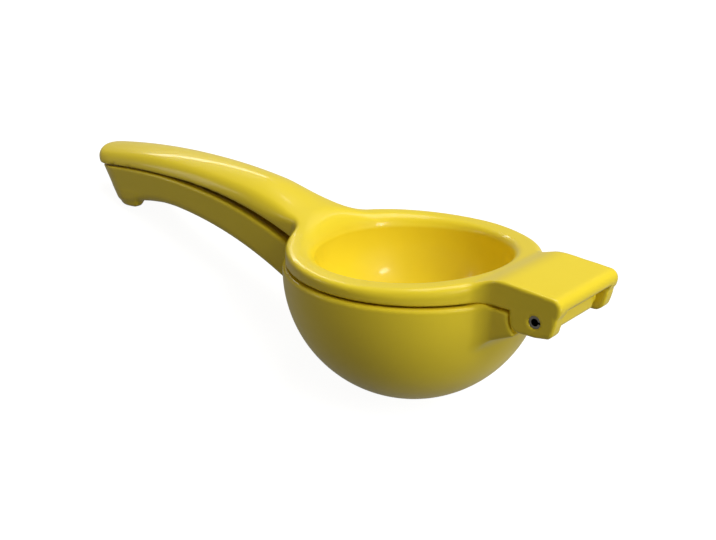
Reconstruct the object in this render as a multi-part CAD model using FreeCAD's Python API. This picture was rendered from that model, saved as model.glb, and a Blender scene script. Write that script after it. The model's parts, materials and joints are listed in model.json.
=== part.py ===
import FreeCAD, Part
import math
import os
from FreeCAD import Vector

# Hinged lemon squeezer: two cast arms with enamelled faces, joined by one rolled steel pin.
# The shapes are drawn in the cup's own frame: the origin is the centre of the cup on the seam
# between the arms, +X runs to the hinge, -X along the handles and +Z up out of the cup.
# The last step tips the whole squeezer so that it lies as on a table, on the bowl and the heel.

# Press dome, cup and flange, on the upper arm
press_radius = 32.0
press_centre_rise = 2.5
cup_wall = 3.0
cup_lip_radius = 2.0
cup_flare_slope = 1.5
flange_height = 3.9
flange_rise = 2.2
flange_edge_radius = 1.6
flange_inset = 0.9

# Strainer bowl, on the lower arm
press_clearance = 3.4
bowl_wall = 3.0
bowl_centre_drop = 2.4
bowl_rim_radius = 0.9
seam_gap = 0.75
seam_above = 0.25

# Drain holes in the bottom of the strainer bowl
drain_diameter = 4.0
drain_ring_pitch = 7.0
drain_rings = 2

# Hinge: the pin, the fork on the upper arm and the tongue on the lower one
pin_reach = 12.65
pin_drop = 1.15
pin_diameter = 3.5
pin_wall = 0.7
pin_slit = 0.6
pin_recess = 0.5
pin_running_clearance = 0.05
hinge_half_width = 15.9
hinge_blend_radius = 3.0
ear_thickness = 4.1
ear_back_radius = 7.4
ear_depth = 4.1
ear_corner_radius = 2.0
relief_clearance = 0.4
ramp_setback = 4.0
ramp_length = 8.0
ramp_rise = 3.6
fork_top_fall = 0.06
fork_end_reach = 5.86
fork_end_lean = 17.7
fork_nose_radius = 4.0
roof_clearance = 0.2
tongue_side_gap = 2.8
tongue_reach = 3.45
tongue_below_pin = 3.85
tongue_corner_radius = 2.0
tongue_shoulder_angle = 35.0
tongue_neck_length = 6.2
boss_radius = 3.2
boss_side_clearance = 0.2
root_corner_drop = 5.75
root_depth = 9.9
root_slope = 0.35

# Both handles
handle_half_width = 11.5
handle_length = 105.5
handle_wall = 3.0
handle_shoulder_radius = 3.6
handle_arch_radius = 19.0
handle_gap = 0.7
handle_gap_growth = 0.042
channel_end = 6.5
section_pitch = 14.0

# The seam between the handles: a bow that is highest at its peak and dives towards the cup
peak_from_flange = 63.5
seam_peak_height = 11.1
seam_flange_height = 0.987
seam_bow_power = 2.5
seam_tip_droop = 2.24

# Height of the upper handle over the seam, at its tip, at the peak and at the flange
tip_height = 5.8
peak_height = 6.5
flange_end_height = 10.2
crown_growth_power = 3.0

# Lower handle, its heel and the foot under it
lower_tip_inset = 3.0
belly_from_flange = 57.5
belly_run = 52.0
belly_power = 1.3
lower_depth = 9.9
lower_depth_growth = 3.6
lower_corner_radius = 3.0
heel_growth = 3.1
heel_length = 32.0
heel_lean = 0.65
foot_inset = 1.9
foot_length = 30.0
foot_bottom_z = -5.0
foot_front_slope = 4.0
foot_touch_from_tip = 15.0
foot_touch_z = -4.6

# Sizes that follow from the ones above
bowl_inner_radius = press_radius + press_clearance
bowl_radius = bowl_inner_radius + bowl_wall
bowl_depth = bowl_radius + bowl_centre_drop
bowl_top = seam_above - seam_gap
flange_radius = bowl_radius - flange_inset
press_depth = press_radius - press_centre_rise
cup_radius = press_radius - cup_wall
pin_x = flange_radius + pin_reach
pin_z = -pin_drop
pin_radius = pin_diameter / 2
slot_half_width = hinge_half_width - ear_thickness
tongue_half_width = slot_half_width - tongue_side_gap
handle_tip_x = -flange_radius - handle_length
channel_end_x = -flange_radius - channel_end
peak_x = -flange_radius - peak_from_flange
foot_touch_x = handle_tip_x + foot_touch_from_tip

# How far an outline or a cutting shape runs past the part, and past what it must only just pass
beyond = 2 * flange_radius
overrun = 8.0


def point(x, z):
    return Vector(x, 0, z)


def line(a, b):
    return Part.LineSegment(a, b).toShape()


def arc(a, b, c):
    return Part.Arc(a, b, c).toShape()


def box(low, high):
    return Part.makeBox(high[0] - low[0], high[1] - low[1], high[2] - low[2], Vector(*low))


def wire(edges):
    return Part.Wire(Part.__sortEdges__(edges))


def polyline(corners):
    """A closed outline of straight edges."""
    return [line(a, b) for a, b in zip(corners, corners[1:] + corners[:1])]


def extruded(edges, half_width):
    """An outline in the XZ plane carried to both sides of the middle plane."""
    solid = Part.Face(wire(edges)).extrude(Vector(0, 2 * half_width, 0))
    solid.translate(Vector(0, -half_width, 0))
    return solid


def turned(edges):
    """An outline in the XZ plane turned about the cup's axis."""
    return Part.Face(wire(edges)).revolve(Vector(0, 0, 0), Vector(0, 0, 1), 360)


def middle_of(edge):
    return edge.valueAt((edge.FirstParameter + edge.LastParameter) / 2)


def around_pin(radius, degrees):
    """A point at a radius from the pin's axis; 0 degrees looks along +X."""
    angle = math.radians(degrees)
    return point(pin_x + radius * math.cos(angle), pin_z + radius * math.sin(angle))


def pin_hole(radius, half_length):
    return Part.makeCylinder(radius, 2 * half_length, Vector(pin_x, -half_length, pin_z), Vector(0, 1, 0))


def round_bottomed(radius, depth, top):
    """A solid of turning: a ball's lower half of the given depth, carried straight up to top."""
    centre = radius - depth
    slant = radius * math.sqrt(0.5)
    return turned([
        arc(point(0, -depth), point(slant, centre - slant), point(radius, centre)),
        line(point(radius, centre), point(radius, top)),
        line(point(radius, top), point(0, top)),
        line(point(0, top), point(0, -depth)),
    ])


def seam_height(x):
    """Height of the upper handle's lower edge."""
    along = x - peak_x
    if along > 0:
        bow = (along / peak_from_flange) ** seam_bow_power
        return seam_peak_height - (seam_peak_height - seam_flange_height) * bow
    return seam_peak_height - seam_tip_droop * (along / (handle_tip_x - peak_x)) ** 2


def crown_height(x):
    """Height of the upper handle's crown: it follows the seam and stands higher at the cup."""
    along = x - peak_x
    if along > 0:
        growth = (flange_end_height - peak_height) * (along / peak_from_flange) ** crown_growth_power
        return seam_height(x) + peak_height + growth
    return seam_height(x) + peak_height + (tip_height - peak_height) * along / (handle_tip_x - peak_x)


def lower_top(x):
    """Height of the lower handle's upper edge, under the tapering gap between the handles."""
    return seam_height(x) - handle_gap - handle_gap_growth * max(0.0, x - peak_x)


def lower_height(x):
    """Depth of the lower handle: least at its belly, more at the bowl and at the heel."""
    along = x + flange_radius + belly_from_flange
    if along > 0:
        return lower_depth + lower_depth_growth * (along / belly_run) ** belly_power
    return lower_depth + heel_growth * (1 - math.cos(math.pi * min(1.0, -along / heel_length))) / 2


def section_places(start):
    """Where the handles' sections stand, evenly from past the tip to the end of their channels."""
    steps = max(2, round((channel_end_x - start) / section_pitch))
    return [start + (channel_end_x - start) * step / steps for step in range(steps + 1)]


def round_ended_plan(half_width, tip, lean, low, high):
    """The handles' plan, with a full-round end; the end leans by lean mm for each mm of height."""
    centre = tip + half_width
    outline = wire([
        line(Vector(0, half_width, low), Vector(centre, half_width, low)),
        arc(Vector(centre, half_width, low), Vector(tip, 0, low), Vector(centre, -half_width, low)),
        line(Vector(centre, -half_width, low), Vector(0, -half_width, low)),
        line(Vector(0, -half_width, low), Vector(0, half_width, low)),
    ])
    return Part.Face(outline).extrude(Vector(-lean * (high - low), 0, high - low))


def arched_section(x, inset):
    """Section of the upper handle: flat foot, upright sides and a wide arch across the top."""
    half = handle_half_width - inset
    foot = max(seam_height(x), seam_above) - inset
    crown = crown_height(x) - inset
    side = crown - handle_arch_radius + math.sqrt(handle_arch_radius ** 2 - half ** 2)
    return wire([
        line(Vector(x, -half, foot), Vector(x, half, foot)),
        line(Vector(x, half, foot), Vector(x, half, side)),
        arc(Vector(x, half, side), Vector(x, 0, crown), Vector(x, -half, side)),
        line(Vector(x, -half, side), Vector(x, -half, foot)),
    ])


def upper_handle():
    """The upper handle, round-ended, with its top edge rounded in one run round the nose."""
    places = section_places(handle_tip_x - overrun)
    places += [-flange_radius, -cup_radius + 1]
    loft = Part.makeLoft([arched_section(x, 0) for x in places], True, False)
    blank = loft.common(round_ended_plan(handle_half_width, handle_tip_x, 0, -beyond, beyond))
    chosen = []
    for edge in blank.Edges:
        middle = middle_of(edge)
        on_top = middle.x < -flange_radius and middle.z > seam_height(middle.x) + 1
        if on_top and edge.Length > 2 * handle_half_width:
            chosen.append(edge)
    return blank.makeFillet(handle_shoulder_radius, chosen)


def upper_channel():
    """Space under the upper handle, a wall's thickness inside it and open below."""
    places = section_places(handle_tip_x - overrun)
    loft = Part.makeLoft([arched_section(x, handle_wall) for x in places], True, False)
    half = handle_half_width - handle_wall
    return loft.common(round_ended_plan(half, handle_tip_x + handle_wall, 0, -beyond, beyond))


def hinge_plan(low, high):
    """The cup's round plan joined to the hinge's square one, with a blend in each corner."""
    disc = Part.makeCylinder(flange_radius, high - low, Vector(0, 0, low))
    block = box((0, -hinge_half_width, low), (pin_x + beyond, hinge_half_width, high))
    plan = disc.fuse(block)
    corner_x = math.sqrt(flange_radius ** 2 - hinge_half_width ** 2)
    corners = []
    for edge in plan.Edges:
        middle = edge.CenterOfMass
        if abs(middle.x - corner_x) < 0.01 and abs(abs(middle.y) - hinge_half_width) < 0.01:
            corners.append(edge)
    return plan.makeFillet(hinge_blend_radius, corners)


def flange_profile(x):
    """A point on top of the flange, which is a shallow valley along X."""
    return point(x, flange_height + flange_rise * (x / flange_radius) ** 2)


def fork_outline():
    """Side view of the flange and the fork: valley, ramp, flat top, end face, ears and back arc."""
    far = -flange_radius - overrun
    ramp_x = flange_radius - ramp_setback
    ramp_end = point(ramp_x + ramp_length, flange_height + ramp_rise)
    lean = math.tan(math.radians(fork_end_lean))
    end_x = pin_x + fork_end_reach
    end_top = ramp_end.z - fork_top_fall * (end_x - ramp_end.x)
    nose_x = end_x + lean * (end_top - pin_z)
    nose = point(nose_x, ramp_end.z - fork_top_fall * (nose_x - ramp_end.x))
    ear_corner = point(end_x - lean * ear_depth, pin_z - ear_depth)
    back_angle = 180 + math.degrees(math.asin(ear_depth / ear_back_radius))
    top_angle = 180 - math.degrees(math.asin((seam_above - pin_z) / ear_back_radius))
    back_low = around_pin(ear_back_radius, back_angle)
    back_top = around_pin(ear_back_radius, top_angle)
    ramp = Part.BSplineCurve()
    ramp.interpolate(Points=[flange_profile(ramp_x), ramp_end],
                     InitialTangent=flange_profile(ramp_x + 0.5) - flange_profile(ramp_x - 0.5),
                     FinalTangent=(nose - ramp_end).normalize())
    return [
        arc(flange_profile(far), flange_profile(0), flange_profile(ramp_x)),
        ramp.toShape(),
        line(ramp_end, nose),
        line(nose, ear_corner),
        line(ear_corner, back_low),
        arc(back_low, around_pin(ear_back_radius, (back_angle + top_angle) / 2), back_top),
        line(back_top, point(far, seam_above)),
        line(point(far, seam_above), flange_profile(far)),
    ]


def rounded_across(solid, radius, low, high):
    """Rounds the edge that runs across the fork's end between two heights."""
    chosen = [edge for edge in solid.Edges if edge.BoundBox.YLength > beyond and middle_of(edge).x > pin_x
              and low < middle_of(edge).z < high]
    return solid.makeFillet(radius, chosen)


def rounded_rim(solid):
    """The upper edge of the flange and the fork's outer edges, rounded in one run."""
    chosen = []
    for edge in solid.Edges:
        middle = middle_of(edge)
        outside = math.hypot(middle.x, middle.y) > flange_radius - 0.01 or abs(middle.y) > hinge_half_width - 0.01
        upright = edge.BoundBox.ZLength > 1 and edge.BoundBox.XLength < 0.01
        if outside and not upright and (middle.z > seam_above + 1 or middle.x > pin_x + ear_depth):
            chosen.append(edge)
    return solid.makeFillet(flange_edge_radius, chosen)


def rounded_lip(solid):
    """The cup's mouth, rounded where the hollow comes out through the flange."""
    chosen = []
    for edge in solid.Edges:
        middle = middle_of(edge)
        on_wall = abs(math.hypot(middle.x, middle.y) - cup_radius) < 0.01
        if on_wall and middle.z > press_centre_rise + 0.5 and edge.Length > cup_radius:
            chosen.append(edge)
    return solid.makeFillet(cup_lip_radius, chosen)


def flared_mouth():
    """What the cup's mouth keeps clear above it: the hollow, and a flare over the flange."""
    lip = flange_profile(cup_radius).z
    start = cup_radius + cup_lip_radius
    start_z = lip - cup_lip_radius / 6
    return turned(polyline([
        point(0, seam_above), point(cup_radius, seam_above), point(cup_radius, lip - cup_lip_radius),
        point(start, start_z), point(start + flange_radius, start_z + cup_flare_slope * flange_radius),
        point(0, start_z + cup_flare_slope * flange_radius),
    ]))


def upper_arm():
    """Press arm: handle, flange with the open cup, press dome and hinge fork in one casting."""
    low = pin_z - ear_depth - 1
    side_view = extruded(fork_outline(), beyond)
    side_view = rounded_across(side_view, fork_nose_radius, 0, seam_peak_height)
    side_view = rounded_across(side_view, ear_corner_radius, low, pin_z)
    plate = rounded_rim(hinge_plan(low, seam_peak_height).common(side_view))
    slot = box((pin_x - ear_back_radius - relief_clearance, -slot_half_width, low - 1),
               (pin_x + beyond, slot_half_width, roof_height()))
    plate = plate.cut(slot)
    dome = round_bottomed(press_radius, press_depth, seam_peak_height)
    dome = dome.common(box((-beyond, -beyond, -beyond), (beyond, beyond, seam_above + 1)))
    hollow = round_bottomed(cup_radius, press_depth - cup_wall, beyond)
    cup = rounded_lip(plate.fuse(dome).cut(hollow))
    handle = upper_handle().cut(flared_mouth()).cut(hollow)
    arm = cup.fuse(handle).cut(upper_channel())
    return arm.cut(pin_hole(pin_radius, hinge_half_width + 1))


def tongue_top():
    """Height of the tongue's round top over the pin: its lower corner turns on the same circle."""
    reach = math.hypot(tongue_reach - tongue_corner_radius, tongue_below_pin - tongue_corner_radius)
    return reach + tongue_corner_radius


def roof_height():
    """The fork's roof clears the rounded tongue as the arms swing."""
    return pin_z + tongue_top() + roof_clearance


def tongue():
    """Hinge tongue of the lower arm: a rounded nose about the pin with a boss on each side."""
    top = tongue_top()
    back = pin_x - 2 * ear_back_radius
    neck = point(pin_x - tongue_neck_length, bowl_top)
    shoulder = around_pin(top, 90 + tongue_shoulder_angle)
    end_x = pin_x + tongue_reach
    bottom = pin_z - tongue_below_pin
    corner = tongue_corner_radius
    bend = corner * (1 - math.sqrt(0.5))
    crest_end = point(end_x, pin_z + math.sqrt(top ** 2 - tongue_reach ** 2))
    corner_start = point(end_x, bottom + corner)
    corner_end = point(end_x - corner, bottom)
    heel = point(pin_x - corner, bottom)
    foot = point(back, -root_depth + root_slope * ear_depth)
    body = extruded([
        line(point(back, bowl_top), neck),
        line(neck, shoulder),
        arc(shoulder, point(pin_x, pin_z + top), crest_end),
        line(crest_end, corner_start),
        arc(corner_start, point(end_x - bend, bottom + bend), corner_end),
        line(corner_end, heel),
        line(heel, foot),
        line(foot, point(back, bowl_top)),
    ], tongue_half_width)
    return body.fuse(pin_hole(boss_radius, slot_half_width - boss_side_clearance))


def lower_root():
    """Root of the hinge on the bowl, with a hollow that lets the fork's ears turn."""
    relief = ear_back_radius + relief_clearance
    end_angle = 180 + math.degrees(math.asin(root_corner_drop / relief))
    start_angle = 180 - math.degrees(math.asin((bowl_top - pin_z) / relief))
    start = around_pin(relief, start_angle)
    end = around_pin(relief, end_angle)
    root = point(flange_radius, -root_depth)
    inside_x = flange_radius / 2
    inside = point(inside_x, -root_depth - (flange_radius - inside_x) * root_slope)
    return extruded([
        line(point(inside_x, bowl_top), start),
        arc(start, around_pin(relief, (end_angle + start_angle) / 2), end),
        line(end, root),
        line(root, inside),
        line(inside, point(inside_x, bowl_top)),
    ], hinge_half_width)


def trough_section(x, inset):
    """U-shaped section of the lower handle, closed along its upper edge."""
    half = handle_half_width - inset
    top = lower_top(x) + inset
    bottom = lower_top(x) - lower_height(x) + inset
    corner = lower_corner_radius - inset / 2
    bend = corner * (1 - math.sqrt(0.5))

    def at(y, z):
        return Vector(x, y, z)

    return wire([
        line(at(-half, top), at(half, top)),
        line(at(half, top), at(half, bottom + corner)),
        arc(at(half, bottom + corner), at(half - bend, bottom + bend), at(half - corner, bottom)),
        line(at(half - corner, bottom), at(-half + corner, bottom)),
        arc(at(-half + corner, bottom), at(-half + bend, bottom + bend), at(-half, bottom + corner)),
        line(at(-half, bottom + corner), at(-half, top)),
    ])


def leaning_plan(inset):
    """Plan of the lower handle, whose end leans in towards the heel."""
    low = foot_bottom_z - lower_depth
    tip = handle_tip_x + lower_tip_inset + inset + (seam_peak_height - low) * heel_lean
    return round_ended_plan(handle_half_width - inset, tip, heel_lean, low, seam_peak_height + lower_depth)


def lower_handle(inset, last_places):
    """The lower handle, or with an inset the channel in it."""
    places = section_places(handle_tip_x - overrun) + last_places
    blank = Part.makeLoft([trough_section(x, inset) for x in places], True, False)
    return blank.common(leaning_plan(inset))


def heel_foot():
    """Pad under the end of the lower handle that the squeezer rests on."""
    front = handle_tip_x + foot_length
    top = foot_bottom_z + foot_front_slope
    pad = extruded(polyline([
        point(handle_tip_x, top), point(handle_tip_x, foot_bottom_z),
        point(front - foot_front_slope, foot_bottom_z), point(front, top),
    ]), handle_half_width)
    return pad.common(leaning_plan(foot_inset))


def drain_holes():
    """Round holes through the bottom of the bowl: one in the middle and rings about it."""
    low = -bowl_depth - 1
    holes = []
    for ring in range(drain_rings + 1):
        count = max(1, 6 * ring)
        for step in range(count):
            angle = 2 * math.pi * step / count
            reach = ring * drain_ring_pitch
            place = Vector(reach * math.cos(angle), reach * math.sin(angle), low)
            holes.append(Part.makeCylinder(drain_diameter / 2, bowl_depth, place))
    return Part.makeCompound(holes)


def lower_arm():
    """Strainer arm: handle with heel, bowl with drain holes and hinge tongue in one casting."""
    outer = round_bottomed(bowl_radius, bowl_depth, bowl_top)
    rim = [edge for edge in outer.Edges if edge.BoundBox.ZMin > bowl_top - 0.01 and edge.Length > bowl_radius]
    outer = outer.makeFillet(bowl_rim_radius, rim)
    inner = round_bottomed(bowl_inner_radius, bowl_depth - bowl_wall, beyond)
    arm = outer.fuse(lower_root()).fuse(lower_handle(0, [-flange_radius, -cup_radius + 1]))
    arm = arm.fuse(heel_foot()).fuse(tongue())
    arm = arm.cut(inner).cut(lower_handle(handle_wall, [])).cut(drain_holes())
    return arm.cut(pin_hole(pin_radius + pin_running_clearance, hinge_half_width))


def hinge_pin():
    """Slotted spring pin: a rolled steel tube with a slit, just below the ears' faces."""
    half_length = hinge_half_width - pin_recess
    tube = pin_hole(pin_radius, half_length).cut(pin_hole(pin_radius - pin_wall, half_length + 1))
    slit = box((pin_x, -half_length - 1, pin_z - pin_slit / 2),
               (pin_x + pin_diameter, half_length + 1, pin_z + pin_slit / 2))
    return tube.cut(slit)


def resting_tilt():
    """Angle at which the bowl's ball and the heel's foot touch one plane, in degrees."""
    from_centre = foot_touch_z + bowl_centre_drop
    reach = math.hypot(foot_touch_x, from_centre)
    return math.degrees(math.atan2(from_centre, -foot_touch_x) + math.asin(bowl_radius / reach))


def table_level(tilt):
    """Height of the table under the tipped squeezer, measured from the cup's centre."""
    angle = math.radians(tilt)
    return foot_touch_x * math.sin(angle) + foot_touch_z * math.cos(angle)


def main():
    os.makedirs("parts", exist_ok=True)
    nodes = {"upper_arm": upper_arm(), "lower_arm": lower_arm(), "hinge_pin": hinge_pin()}
    tilt = resting_tilt()
    level = table_level(tilt)
    for shape in nodes.values():
        shape.rotate(Vector(0, 0, 0), Vector(0, 1, 0), -tilt)
    under_foot = box((handle_tip_x - beyond, -beyond, level - beyond), (-bowl_radius, beyond, level))
    nodes["lower_arm"] = nodes["lower_arm"].cut(under_foot)
    low_x = min(shape.optimalBoundingBox(False).XMin for shape in nodes.values())
    high_x = max(shape.optimalBoundingBox(False).XMax for shape in nodes.values())
    shift = Vector(-(low_x + high_x) / 2, 0, -level)
    for name, shape in nodes.items():
        shape.translate(shift)
        solid = shape.Solids[0]
        print(name, len(shape.Solids), solid.isValid(), round(solid.Volume, 1), solid.BoundBox)
        solid.exportStep("parts/" + name + ".step")
    print("tilt", round(tilt, 4), "shift", shift)


main()
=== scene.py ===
import json
import math

import bpy
import numpy as np
from mathutils import Matrix, Vector


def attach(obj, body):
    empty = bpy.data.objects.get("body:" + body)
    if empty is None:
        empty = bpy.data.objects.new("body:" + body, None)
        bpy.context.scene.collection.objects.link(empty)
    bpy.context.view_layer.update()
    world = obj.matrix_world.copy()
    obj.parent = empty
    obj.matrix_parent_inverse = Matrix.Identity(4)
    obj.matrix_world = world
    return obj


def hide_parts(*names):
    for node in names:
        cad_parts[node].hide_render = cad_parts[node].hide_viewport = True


# Hinged lemon squeezer: two enamelled castings on one rolled steel pin.
# Each casting is drawn as a field of distances in millimetres, in the cup's own frame: the origin
# is the cup's centre on the seam, +X runs to the hinge, -X along the handles, +Z up out of the cup.

# How the squeezer lies: the frame gives the hinge, and the tilt turns the cup's frame about it
resting_tilt = math.radians(16.4703)

# Grid of each casting's field: its step, and the box that holds the casting
press_step = 0.6
press_box = ((-143, -37.5, -29.5), (58.5, 37.5, 19))
strainer_step = 0.64
strainer_box = ((-141, -38.4, -40.8), (57.3, 38.4, 12))

# Small fillets and edges that the castings share
fine_edge = 0.3
soft_edge = 0.5
casting_fillet = 0.8
channel_edge = 0.6
channel_fillet = 1.5

# Cup, flange and press dome
flange_radius = 37.5
flange_height = 3.9
flange_rise = 2.2
flange_edge = 1.6
round_edge = 2.8
round_edge_zone = (0.0, 20.0)
fork_edge = 0.7
press_radius = 32.0
press_depth = 29.5
cup_wall = 3.0
cup_lip = 2.6
soft_lip = 4.6
soft_lip_zone = (-10.0, 20.0)
hump_lip = 9.0
hump_height = 4.0
hump_zone = (10.0, 25.0)
dome_overlap = 1.0
neck_fillet = 2.5
arm_swell = 5.0
seam_above = 0.25
seam_gap = 0.75

# Strainer bowl
bowl_radius = 38.39
bowl_depth = 40.8
bowl_wall = 3.0
bowl_rim = 0.9
drain_diameter = 4.0
drain_ring_pitch = 7.0
drain_rings = 2
drain_edge = 0.35
drain_top_z = -20.0

# Hinge
pin_x = 50.15
pin_z = -1.15
pin_diameter = 3.5
fork_bore_gap = 0.02
tongue_bore_gap = 0.05
bore_edge = 0.25
hinge_half_width = 15.9
hinge_corner = 3.0
slot_half_width = 11.8
ear_radius = 7.4
ear_depth = 4.1
ear_corner = 2.0
relief_clearance = 0.35
fork_reach = 5.66
fork_nose = 3.4
fork_lip = 2.6
fork_lip_start = 4.65
fork_top = (41.5, 7.5)
fork_slope = 0.085
fork_ramp = (31.0, 42.5)
fork_edge_zone = (30.0, 39.0)
tongue_half_width = 9.6
tongue_reach = 3.45
tongue_length = 14.0
neck_drop = 1.6
tongue_below_pin = 3.85
tongue_corner = 2.0
roof_clearance = 0.2
boss_radius = 3.2
boss_end = 11.6
boss_edge = 0.4
block_end = (44.2, -6.9)
block_root = (37.5, -9.9)

# Handles
handle_half_width = 11.5
handle_wall = 3.0
handle_nose_x = -131.3
nose_zone = (132.0, 139.0)
shoulder_zone = (-50.0, -33.0)
upper_channel_end = -44.0
lower_channel_end = -41.5
nose_lean = 0.15
handle_shoulder = 3.6
nose_shoulder = 1.5
nose_edge = 1.3
handle_arch = 19.0
hump_arch = 26.0
hump_arch_zone = (-55.0, -36.0)
seam_peak = (-101.0, 11.1)
seam_fall = 9.45
seam_run = 61.8
seam_droop = 1.5
seam_droop_run = 32.0
handle_gap = 0.7
handle_gap_growth = 0.042
handle_top_edge = 0.35
lower_corner = 3.0
heel_corner = 1.0
heel_lean = math.atan(0.65)
heel_tip_x = -140.0
foot_inset = 0.5
foot_bottom_z = -4.8
foot_touch_x = -128.0
foot_rise = 0.09
foot_wall = 3.5
foot_front_x = -114.2
foot_front_rise = 1.0
foot_front_slope = 2.0
foot_front_edge = 1.5
foot_top_z = 2.0
casting_edge = 0.5
root_blend = 3.0
handle_blend = 1.3
heel_corner_zone = (108.0, 122.0)

# Upper handle: height over the seam at the peak, its growth towards the cup and its loss at the tip
crown_over_seam = 6.3
crown_growth = 3.7
crown_run = 63.5
crown_dip = 2.0
crown_dip_zone = (-60.0, -34.0)
crown_loss = 0.4
crown_loss_run = 42.0

# Lower handle: depth at the belly, its growth towards the bowl and towards the heel
belly_x = -95.0
belly_depth = 9.9
belly_growth = 3.6
belly_run = 52.0
heel_growth = 2.4
heel_run = 36.0

# How bright the white surroundings are in the part's own reflections, where the camera sees them at 1
mirrored_level = 0.22

# Camera, from the photograph's framing: place in the cup's frame, heading, and lens
camera_place = (166.0, -222.7, 97.4)
camera_heading = 0.6990
camera_height = 0.34795
camera_roll = 0.0037
camera_lens = 50.28
sensor_width = 36.0


def ease(x, start, end):
    """0 before start and 1 after end, with a smooth S between them."""
    t = np.clip((x - start) / (end - start), 0.0, 1.0)
    return t * t * (3 - 2 * t)


def join(a, b, radius):
    """Union of two solids, with a round fillet of that radius in the corner between them."""
    corner = np.hypot(np.maximum(radius - a, 0), np.maximum(radius - b, 0))
    return np.maximum(radius, np.minimum(a, b)) - corner


def meet(a, b, radius):
    """What two solids share, with a round edge of that radius where their faces cross."""
    corner = np.hypot(np.maximum(radius + a, 0), np.maximum(radius + b, 0))
    return np.minimum(-radius, np.maximum(a, b)) + corner


def cut(a, b, radius):
    """Solid a without solid b, with a round edge of that radius round the cut."""
    return meet(a, -b, radius)


def swell(a, b, width):
    """The higher of two heights, run together over a zone as wide as given."""
    mix = np.maximum(width - np.abs(a - b), 0) / width
    return np.maximum(a, b) + mix * mix * width / 4


def seam_height(x):
    """The seam between the handles: a long bow that dives towards the cup."""
    along = x - seam_peak[0]
    fall = seam_fall * (np.maximum(along, 0) / seam_run) ** 2.5
    return seam_peak[1] - fall - seam_droop * (np.minimum(along, 0) / seam_droop_run) ** 2


def crown_height(x):
    """The upper handle's crown: it follows the seam and stands higher over it at the cup."""
    along = x - seam_peak[0]
    growth = crown_growth * (np.maximum(along, 0) / crown_run) ** 3
    loss = crown_loss * np.minimum(along, 0) / crown_loss_run
    return seam_height(x) + crown_over_seam + (growth + loss) - crown_dip * ease(x, *crown_dip_zone)


def belly_height(x):
    """The lower handle's underside: a bow that is shallow at the belly and deeper at both its ends."""
    along = x - belly_x
    gap = handle_gap + handle_gap_growth * np.maximum(x - seam_peak[0], 0)
    heel = heel_growth * (1 - np.cos(math.pi * np.clip(-along / heel_run, 0, 1))) / 2
    growth = belly_growth * (np.maximum(along, 0) / belly_run) ** 1.3
    return seam_height(x) - gap - belly_depth - growth - heel


def seam_steepness(x):
    """Cosine of the seam's slope over 1 mm, which turns a height over the seam into a distance."""
    return 1 / np.hypot(1, seam_height(x + 0.5) - seam_height(x - 0.5))


def pin_distance(x, z):
    """Distance from the pin's axis."""
    return np.hypot(x - pin_x, z - pin_z)


def round_bottomed(x, y, z, radius, depth):
    """A ball's lower half of that depth, with straight walls above its centre."""
    height = np.minimum(z - (radius - depth), 0)
    return np.sqrt(x * x + y * y + height * height) - radius


def from_nose(x, y, nose_x):
    """Distance from the handle's middle line, which ends at the nose's centre."""
    return np.hypot(np.minimum(x - nose_x, 0), y)


def hinge_plan(x, y):
    """The cup's round plan run into the hinge's straight sides."""
    disc = np.hypot(x, y) - flange_radius
    bar = np.maximum(np.abs(y) - hinge_half_width, -x)
    return join(disc, bar, hinge_corner)


def flange_top(x):
    """A shallow valley along the flange that climbs a ramp to the hinge's flat top."""
    valley = flange_height + flange_rise * (np.maximum(x / flange_radius, -1.0)) ** 2
    flat = fork_top[1] - fork_slope * (x - fork_top[0])
    mix = ease(x, *fork_ramp)
    return valley * (1 - mix) + flat * mix


def arm_top(x, y):
    """The upper arm's top: the handle's arch runs out over the flange like a low hump."""
    bend = handle_arch + (hump_arch - handle_arch) * ease(x, *hump_arch_zone)
    arch = crown_height(x) - bend + np.sqrt(np.maximum(bend ** 2 - y * y, 9.0))
    return swell(flange_top(x), arch, arm_swell)


def tongue_roof():
    """Top of the tongue's round nose, whose rounded lower corner turns on the same circle about the pin."""
    reach = math.hypot(tongue_reach - tongue_corner, tongue_below_pin - tongue_corner)
    return pin_z + reach + tongue_corner


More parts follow.
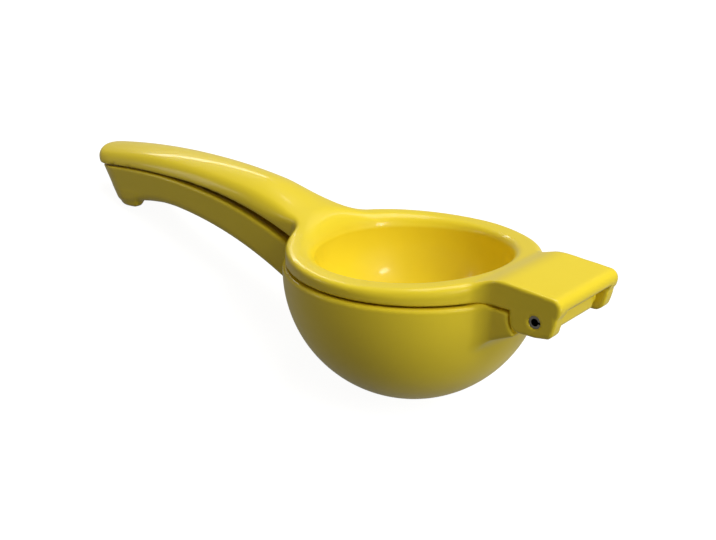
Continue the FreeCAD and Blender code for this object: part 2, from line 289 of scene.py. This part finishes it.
def upper_casting(x, y, z):
    """Press arm: handle, flange with the open cup, press dome below it and the hinge's fork."""
    nose = ease(-x, *nose_zone)
    nose_x = handle_nose_x + nose_lean * (crown_height(handle_nose_x) - z)
    side = join(hinge_plan(x, y), meet(from_nose(x, y, nose_x) - handle_half_width, x, 1.0), neck_fillet)
    slope = np.hypot(1, arm_top(x + 0.5, y) - arm_top(x - 0.5, y))
    top = (z - arm_top(x, y)) / slope
    end = (x - pin_x) * math.cos(resting_tilt) - (z - pin_z) * math.sin(resting_tilt) - fork_reach
    top = meet(top, end, fork_nose)
    hump = np.clip((arm_top(x, y) - flange_top(x)) / hump_height, 0, 1) * ease(-x, *hump_zone)
    hollow = round_bottomed(x, y, z, press_radius - cup_wall, press_depth - cup_wall)
    lip = cup_lip + (soft_lip - cup_lip) * ease(-x, *soft_lip_zone) + (hump_lip - soft_lip) * hump
    top = cut(top, hollow, lip)
    edge = flange_edge + (handle_shoulder - flange_edge) * (1 - ease(x, *shoulder_zone))
    edge = edge + (round_edge - flange_edge) * ease(x, *round_edge_zone)
    edge = edge + (fork_edge - round_edge) * ease(x, *fork_edge_zone)
    edge = edge + (nose_shoulder - handle_shoulder) * nose
    body = meet(side, top, edge)
    under = np.minimum(seam_above - z, pin_distance(x, z) - ear_radius)
    under = meet(under, pin_z - ear_depth - z, 1.5)
    steep = seam_steepness(x)
    handle_under = (seam_height(x) - z) * steep
    under = np.where(x < -20, swell(under, handle_under, 1.0), under)
    body = meet(body, under, casting_edge + (ear_corner - casting_edge) * ease(x, pin_x, pin_x + ear_depth)
                + (nose_edge - casting_edge) * nose)
    slot = np.maximum(np.abs(y) - slot_half_width, pin_x - ear_radius - relief_clearance - x)
    ceiling = np.maximum(z - tongue_roof() - roof_clearance, x - pin_x)
    ceiling = np.minimum(ceiling, pin_distance(x, z) - fork_lip_start)
    slot = meet(slot, np.minimum(ceiling, z - fork_lip), fine_edge)
    body = cut(body, slot, fine_edge)
    dome = meet(round_bottomed(x, y, z, press_radius, press_depth), z - seam_above - dome_overlap, fine_edge)
    body = join(body, np.maximum(dome, top), casting_fillet)
    body = np.maximum(body, -hollow)
    channel = from_nose(x, y, handle_nose_x) - handle_half_width + handle_wall
    channel = meet(channel, top + handle_wall, channel_fillet)
    channel = meet(channel, x - upper_channel_end, channel_fillet)
    body = cut(body, channel, channel_edge)
    return cut(body, pin_distance(x, z) - pin_diameter / 2 - fork_bore_gap, bore_edge)


def lower_casting(x, y, z):
    """Strainer arm: bowl with drain holes, handle with its heel, and the hinge's tongue."""
    bowl = meet(round_bottomed(x, y, z, bowl_radius, bowl_depth), z - seam_above + seam_gap, bowl_rim)
    root_slope = math.atan2(block_end[1] - block_root[1], block_end[0] - block_root[0])
    root_under = (block_root[1] - z) * math.cos(root_slope)
    root_under = root_under + (x - block_root[0]) * math.sin(root_slope)
    root = meet(np.maximum(np.abs(y) - hinge_half_width, 20 - x), root_under, 1.0)
    root = meet(root, z - seam_above + seam_gap, fine_edge)
    root = cut(root, pin_distance(x, z) - ear_radius - relief_clearance, fine_edge / 2)
    body = join(bowl, root, root_blend)

    steep = seam_steepness(x)
    gap = handle_gap + handle_gap_growth * np.maximum(x - seam_peak[0], 0)
    handle_top = (z - seam_height(x) + gap) * steep
    belly = (belly_height(x) - z) / np.hypot(1, belly_height(x + 0.5) - belly_height(x - 0.5))
    middle = heel_tip_x + handle_half_width + (seam_peak[1] - z) * math.tan(heel_lean)
    reach = np.hypot(np.minimum((x - middle) * math.cos(heel_lean), 0), y)
    corner = lower_corner + (heel_corner - lower_corner) * ease(-x, *heel_corner_zone)
    handle = meet(reach - handle_half_width, belly, corner)
    handle = meet(handle, handle_top, handle_top_edge)
    handle = meet(handle, x + press_radius - cup_wall, 1.0)
    foot_bottom = foot_bottom_z + foot_rise * (x - foot_touch_x)
    foot = meet(reach - handle_half_width + foot_inset, foot_bottom - z, 1.0)
    foot_front = (x - foot_front_x) * foot_front_slope - foot_front_rise - z
    foot = meet(foot, foot_front / math.hypot(foot_front_slope, 1), foot_front_edge)
    foot = meet(foot, z - foot_top_z, soft_edge)
    foot = cut(foot, reach - handle_half_width + foot_wall, soft_edge)
    handle = join(handle, foot, 1.0)
    channel = meet(reach - handle_half_width + handle_wall, belly + handle_wall, lower_corner / 2)
    channel = meet(channel, x - lower_channel_end, channel_fillet)
    handle = cut(handle, channel, channel_edge)
    body = join(body, handle, handle_blend)

    inside = round_bottomed(x, y, z, bowl_radius - bowl_wall, bowl_depth - bowl_wall)
    body = cut(body, inside, channel_edge)

    roof = tongue_roof()
    nose = pin_distance(x, z) - (roof - pin_z)
    neck = meet(z - roof + neck_drop, x - pin_x, soft_edge)
    tongue = np.minimum(nose, np.maximum(neck, z - seam_above + seam_gap))
    tongue = meet(np.minimum(tongue, x - pin_x), x - pin_x - tongue_reach, channel_edge)
    tongue = meet(tongue, pin_z - tongue_below_pin - z, tongue_corner)
    tongue = meet(tongue, np.abs(y) - tongue_half_width, casting_fillet)
    tongue = np.maximum(tongue, pin_x - tongue_length - x)
    tongue = meet(tongue, z - roof, boss_edge)
    boss = meet(pin_distance(x, z) - boss_radius, np.abs(y) - boss_end, boss_edge)
    tongue = join(tongue, boss, soft_edge)
    body = join(body, tongue, casting_fillet)

    for ring in range(drain_rings + 1):
        for step in range(max(1, 6 * ring)):
            angle = 2 * math.pi * step / max(1, 6 * ring)
            away = ring * drain_ring_pitch
            hole = np.hypot(x - away * math.cos(angle), y - away * math.sin(angle)) - drain_diameter / 2
            body = cut(body, np.maximum(hole, z - drain_top_z), drain_edge)
    body = cut(body, pin_distance(x, z) - pin_diameter / 2 - tongue_bore_gap, bore_edge)
    table = rise_of(pin_x, pin_z) - hinge_place().z * 1000
    return np.where(x < foot_front_x, meet(body, table - rise_of(x, z), fine_edge), body)


def rise_of(x, z):
    """Height of a point of the cup's frame once the squeezer lies down, over the cup's centre."""
    return x * math.sin(resting_tilt) + z * math.cos(resting_tilt)


def hinge_place():
    """Where the frame has the hinge's axis, in metres."""
    joint = next(j for j in frame["record"]["behaviour"]["joints"] if j["name"] == "hinge")
    return Vector(joint["pos_m"])


def laid_down(points):
    """Points of the cup's frame, in millimetres, turned by the tilt and set on the hinge, in metres."""
    turned = np.empty_like(points)
    x, z = points[:, 0] - pin_x, points[:, 2] - pin_z
    turned[:, 0] = x * math.cos(resting_tilt) - z * math.sin(resting_tilt)
    turned[:, 1] = points[:, 1]
    turned[:, 2] = x * math.sin(resting_tilt) + z * math.cos(resting_tilt)
    return turned / 1000 + np.array(hinge_place())


def skin(field, low, high, step):
    """Points and quads of the surface where the field is zero.

    Each grid cell that the surface passes through has one point, at the mean of the places where its
    edges are crossed, and each crossed grid edge has one quad between the four cells round it. The
    points then slide along the field's slope until they lie on the surface.
    """
    axes = [np.arange(a - step, b + 2 * step, step) for a, b in zip(low, high)]
    grid = field(axes[0][:, None, None], axes[1][None, :, None], axes[2][None, None, :])
    grid = np.broadcast_to(grid, tuple(len(axis) for axis in axes))
    inside = grid < 0
    cells = tuple(n - 1 for n in grid.shape)
    corners = [(i, j, k) for i in (0, 1) for j in (0, 1) for k in (0, 1)]
    full = sum(inside[i:i + cells[0], j:j + cells[1], k:k + cells[2]].astype(np.int8)
               for i, j, k in corners)
    crossed = np.argwhere((full > 0) & (full < 8))
    number = np.full(cells, -1, dtype=np.int64)
    number[tuple(crossed.T)] = np.arange(len(crossed))
    total = np.zeros((len(crossed), 3))
    count = np.zeros(len(crossed))
    for axis in range(3):
        for first in corners:
            if first[axis] == 0:
                start = crossed + first
                second = start.copy()
                second[:, axis] += 1
                a, b = grid[tuple(start.T)], grid[tuple(second.T)]
                hit = (a < 0) != (b < 0)
                place = start.astype(float)
                place[:, axis] += np.where(hit, a / np.where(hit, a - b, 1), 0)
                total += place * hit[:, None]
                count += hit
    points = total / count[:, None] * step + np.array([axis[0] for axis in axes])
    quads = []
    for axis in range(3):
        u, v = (axis + 1) % 3, (axis + 2) % 3
        ahead = [slice(None)] * 3
        ahead[axis] = slice(1, None)
        behind = [slice(None)] * 3
        behind[axis] = slice(None, -1)
        change = inside[tuple(behind)].astype(np.int8) - inside[tuple(ahead)].astype(np.int8)
        edges = np.argwhere(change != 0)
        outward = change[tuple(edges.T)] > 0
        ring = []
        for du, dv in ((-1, -1), (0, -1), (0, 0), (-1, 0)):
            cell = edges.copy()
            cell[:, u] += du
            cell[:, v] += dv
            ring.append(number[tuple(cell.T)])
        ring = np.stack(ring, axis=1)
        quads.append(np.where(outward[:, None], ring, ring[:, ::-1]))
    reach, probe, slides = 0.3 * step, 0.02, 3
    for _ in range(slides):
        x, y, z = points.T
        value = field(x, y, z)
        slope = np.stack([field(x + probe, y, z) - field(x - probe, y, z),
                          field(x, y + probe, z) - field(x, y - probe, z),
                          field(x, y, z + probe) - field(x, y, z - probe)], axis=1) / (2 * probe)
        size = np.maximum((slope ** 2).sum(axis=1), 0.25)
        points = points - np.clip((value / size)[:, None] * slope, -reach, reach)
    return points, np.concatenate(quads)


def piece(name, points, faces, body, material):
    """A mesh from whole arrays of points and quads, shaded smooth, on its body and with its finish."""
    mesh = bpy.data.meshes.new(name)
    mesh.from_pydata(points.tolist(), [], faces.tolist())
    mesh.polygons.foreach_set("use_smooth", np.ones(len(mesh.polygons), dtype=bool))
    mesh.update()
    thing = bpy.data.objects.new(name, mesh)
    bpy.context.scene.collection.objects.link(thing)
    thing.data.materials.append(material)
    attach(thing, body)
    return thing


def linear(code):
    """A colour written as sRGB hex, in the linear values that the shaders take."""
    parts = [int(code[i:i + 2], 16) / 255 for i in (1, 3, 5)]
    return tuple(c / 12.92 if c <= 0.04045 else ((c + 0.055) / 1.055) ** 2.4 for c in parts) + (1.0,)


def node(tree, kind, settings=None, links=None):
    """Adds one node with its settings and the links into its sockets."""
    made = tree.nodes.new(kind)
    for name, value in (settings or {}).items():
        if name in made.inputs:
            made.inputs[name].default_value = value
        else:
            setattr(made, name, value)
    for name, source in (links or {}).items():
        tree.links.new(source, made.inputs[name])
    return made


def new_material(name):
    """An empty material of that name, and its node tree."""
    made = bpy.data.materials.new(name)
    made.use_nodes = True
    made.node_tree.nodes.clear()
    return made, made.node_tree


def yellow_enamel():
    """Baked enamel sprayed on cast aluminium, which gives a deep yellow gloss with a faint orange peel.

    The peel's grain is about 1.5 mm and its slow wave about 9 mm, both shallow.
    """
    made, tree = new_material("yellow_baked_enamel")
    place = node(tree, "ShaderNodeTexCoord").outputs["Object"]
    cloud = node(tree, "ShaderNodeTexNoise", {"Scale": 45.0, "Detail": 3.0}, {"Vector": place})
    tint = node(tree, "ShaderNodeMix",
                {"data_type": "RGBA", "A": linear("#F2D92D"), "B": linear("#F8E033")},
                {"Factor": cloud.outputs["Fac"]})
    peel = node(tree, "ShaderNodeTexNoise", {"Scale": 700.0, "Detail": 2.0}, {"Vector": place})
    wave = node(tree, "ShaderNodeTexNoise", {"Scale": 110.0, "Detail": 1.0}, {"Vector": place})
    fine = node(tree, "ShaderNodeBump", {"Strength": 0.03, "Distance": 0.0002},
                {"Height": peel.outputs["Fac"]})
    bump = node(tree, "ShaderNodeBump", {"Strength": 0.06, "Distance": 0.0006},
                {"Height": wave.outputs["Fac"], "Normal": fine.outputs["Normal"]})
    shader = node(tree, "ShaderNodeBsdfPrincipled",
                  {"Roughness": 0.32, "IOR": 1.5, "Specular IOR Level": 0.2, "Coat Weight": 0.3,
                   "Coat Roughness": 0.07, "Coat IOR": 1.45},
                  {"Base Color": tint.outputs["Result"], "Normal": bump.outputs["Normal"]})
    node(tree, "ShaderNodeOutputMaterial", {}, {"Surface": shader.outputs["BSDF"]})
    return made


def rolled_steel():
    """Rolled spring steel, as on a slotted pin, which gives a dark grey metal with fine marks round it."""
    made, tree = new_material("rolled_spring_steel")
    place = node(tree, "ShaderNodeTexCoord").outputs["Object"]
    stretch = node(tree, "ShaderNodeMapping", {"Scale": (1.0, 12.0, 1.0)}, {"Vector": place})
    marks = node(tree, "ShaderNodeTexNoise", {"Scale": 900.0, "Detail": 2.0},
                 {"Vector": stretch.outputs["Vector"]})
    rough = node(tree, "ShaderNodeMapRange", {"To Min": 0.12, "To Max": 0.3},
                 {"Value": marks.outputs["Fac"]})
    shader = node(tree, "ShaderNodeBsdfPrincipled", {"Base Color": linear("#77736A"), "Metallic": 1.0},
                  {"Roughness": rough.outputs["Result"]})
    node(tree, "ShaderNodeOutputMaterial", {}, {"Surface": shader.outputs["BSDF"]})
    return made


def seen_directly(tree):
    """1 for the camera's own rays and through glass, a part of that in reflections, 0 for the rest."""
    path = node(tree, "ShaderNodeLightPath")
    shiny = node(tree, "ShaderNodeMath", {"operation": "MULTIPLY_ADD"})
    tree.links.new(path.outputs["Is Glossy Ray"], shiny.inputs[0])
    shiny.inputs[1].default_value = mirrored_level
    tree.links.new(path.outputs["Is Transmission Ray"], shiny.inputs[2])
    seen = node(tree, "ShaderNodeMath", {"operation": "MAXIMUM"})
    tree.links.new(path.outputs["Is Camera Ray"], seen.inputs[0])
    tree.links.new(shiny.outputs["Value"], seen.inputs[1])
    return seen.outputs["Value"]


def white_floor():
    """A floor that is seen as plain white, takes a faint shadow near the part and throws little light back."""
    made, tree = new_material("white_sweep")
    place = node(tree, "ShaderNodeTexCoord").outputs["Object"]
    away = node(tree, "ShaderNodeVectorMath", {"operation": "LENGTH"}, {"Vector": place})
    glow = node(tree, "ShaderNodeMapRange",
                {"interpolation_type": "SMOOTHSTEP", "From Min": 0.15, "From Max": 0.4,
                 "To Min": 0.95, "To Max": 1.0},
                {"Value": away.outputs["Value"]})
    level = node(tree, "ShaderNodeMath", {"operation": "MULTIPLY"})
    tree.links.new(glow.outputs["Result"], level.inputs[0])
    tree.links.new(seen_directly(tree), level.inputs[1])
    white = node(tree, "ShaderNodeEmission", {"Color": linear("#FFFFFF")},
                 {"Strength": level.outputs["Value"]})
    grey = node(tree, "ShaderNodeBsdfDiffuse", {"Color": linear("#787876")})
    both = node(tree, "ShaderNodeAddShader")
    tree.links.new(white.outputs["Emission"], both.inputs[0])
    tree.links.new(grey.outputs["BSDF"], both.inputs[1])
    node(tree, "ShaderNodeOutputMaterial", {}, {"Surface": both.outputs["Shader"]})
    return made


def set_floor():
    """A flat square floor, 6 m wide, under the part."""
    reach = 3.0
    corners = [(-reach, -reach, 0), (reach, -reach, 0), (reach, reach, 0), (-reach, reach, 0)]
    mesh = bpy.data.meshes.new("floor")
    mesh.from_pydata(corners, [], [(0, 1, 2, 3)])
    floor = bpy.data.objects.new("floor", mesh)
    bpy.context.scene.collection.objects.link(floor)
    mesh.materials.append(white_floor())


def set_world():
    """Plain white round the part for the camera, a share of it in reflections, and a soft warm light."""
    world = bpy.data.worlds.new("studio")
    bpy.context.scene.world = world
    world.use_nodes = True
    tree = world.node_tree
    tree.nodes.clear()
    soft = node(tree, "ShaderNodeBackground", {"Color": linear("#FFE8C4"), "Strength": 0.11})
    plain = node(tree, "ShaderNodeBackground", {"Color": linear("#FFFFFF"), "Strength": 1.0})
    mix = node(tree, "ShaderNodeMixShader", {}, {"Fac": seen_directly(tree)})
    tree.links.new(soft.outputs["Background"], mix.inputs[1])
    tree.links.new(plain.outputs["Background"], mix.inputs[2])
    node(tree, "ShaderNodeOutputWorld", {}, {"Surface": mix.outputs["Shader"]})


def lamp(name, bearing, height, away, size, level, mirrored=True):
    """A soft lamp seen from the part at a bearing and a height in degrees, aimed at its middle.

    The level is the share of its own colour that a matt face turned to the lamp shows. A lamp behind
    a diffuser is not mirrored as a shape of its own.
    """
    light = bpy.data.lights.new(name, "AREA")
    light.shape = "RECTANGLE"
    light.size, light.size_y = size
    light.energy = level * (math.pi * away) ** 2
    thing = bpy.data.objects.new(name, light)
    along, up = math.radians(bearing), math.radians(height)
    out = Vector((math.cos(along) * math.cos(up), math.sin(along) * math.cos(up), math.sin(up)))
    thing.location = Vector((0.0, 0.0, 0.03)) + out * away
    thing.rotation_euler = out.to_track_quat("Z", "Y").to_euler()
    thing.visible_glossy = mirrored
    bpy.context.scene.collection.objects.link(thing)


def set_lamps():
    """Wide key over the hinge end with a small glint beside it, a soft top light and three weak ones."""
    lamp("key", 0, 52, 1.1, (0.9, 0.9), 0.53, mirrored=False)
    lamp("glint", -9, 52, 1.1, (0.24, 0.09), 0.13)
    lamp("top", 121, 64, 1.2, (0.8, 0.8), 0.58)
    lamp("right_low", 15, 7, 1.3, (0.5, 0.2), 0.12)
    lamp("back_strip", 150, 16, 1.3, (0.6, 0.07), 0.06)
    lamp("left_strip", -146, 12, 1.3, (0.3, 0.3), 0.05)


def set_camera():
    """The photograph's view: place, heading and lens found from the rim, the handles and the hinge."""
    data = bpy.data.cameras.new("camera")
    data.lens = camera_lens
    data.sensor_width = sensor_width
    data.sensor_fit = "HORIZONTAL"
    data.clip_start = 0.01
    thing = bpy.data.objects.new("camera", data)
    bpy.context.scene.collection.objects.link(thing)
    back = Vector((math.sin(camera_heading) * math.cos(camera_height),
                   -math.cos(camera_heading) * math.cos(camera_height), math.sin(camera_height)))
    right = Vector((math.cos(camera_heading), math.sin(camera_heading), 0))
    up = back.cross(right)
    turned_right = right * math.cos(camera_roll) + up * math.sin(camera_roll)
    turned_up = up * math.cos(camera_roll) - right * math.sin(camera_roll)
    tilt = Matrix.Rotation(-resting_tilt, 3, "Y")
    axes = [tilt @ turned_right, tilt @ turned_up, tilt @ back]
    turn = Matrix([[axis[row] for axis in axes] for row in range(3)]).to_4x4()
    place = laid_down(np.array([camera_place]))[0]
    thing.matrix_world = Matrix.Translation(Vector(place)) @ turn
    bpy.context.scene.camera = thing


def add_arms(enamel):
    rough = 1
    points, quads = skin(upper_casting, *press_box, press_step * rough)
    arm = piece("press_arm", laid_down(points), quads, "upper", enamel)
    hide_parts("upper_arm")
    points, quads = skin(lower_casting, *strainer_box, strainer_step * rough)
    arm = piece("strainer_arm", laid_down(points), quads, "lower", enamel)
    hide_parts("lower_arm")


def add_pin(steel):
    """The pin stays the frame's own solid and takes the steel."""
    pin = frame["nodes"]["hinge_pin"]
    pin.data.materials.clear()
    pin.data.materials.append(steel)


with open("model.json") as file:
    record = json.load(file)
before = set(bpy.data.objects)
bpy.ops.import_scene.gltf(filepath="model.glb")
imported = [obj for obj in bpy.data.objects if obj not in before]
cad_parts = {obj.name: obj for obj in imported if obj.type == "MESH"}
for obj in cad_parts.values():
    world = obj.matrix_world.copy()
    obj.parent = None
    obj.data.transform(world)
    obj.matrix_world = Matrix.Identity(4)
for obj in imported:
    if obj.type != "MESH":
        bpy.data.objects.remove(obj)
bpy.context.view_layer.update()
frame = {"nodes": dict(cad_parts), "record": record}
add_arms(yellow_enamel())
add_pin(rolled_steel())
set_floor()
set_world()
set_lamps()
set_camera()
bpy.context.scene.view_settings.view_transform = "Standard"
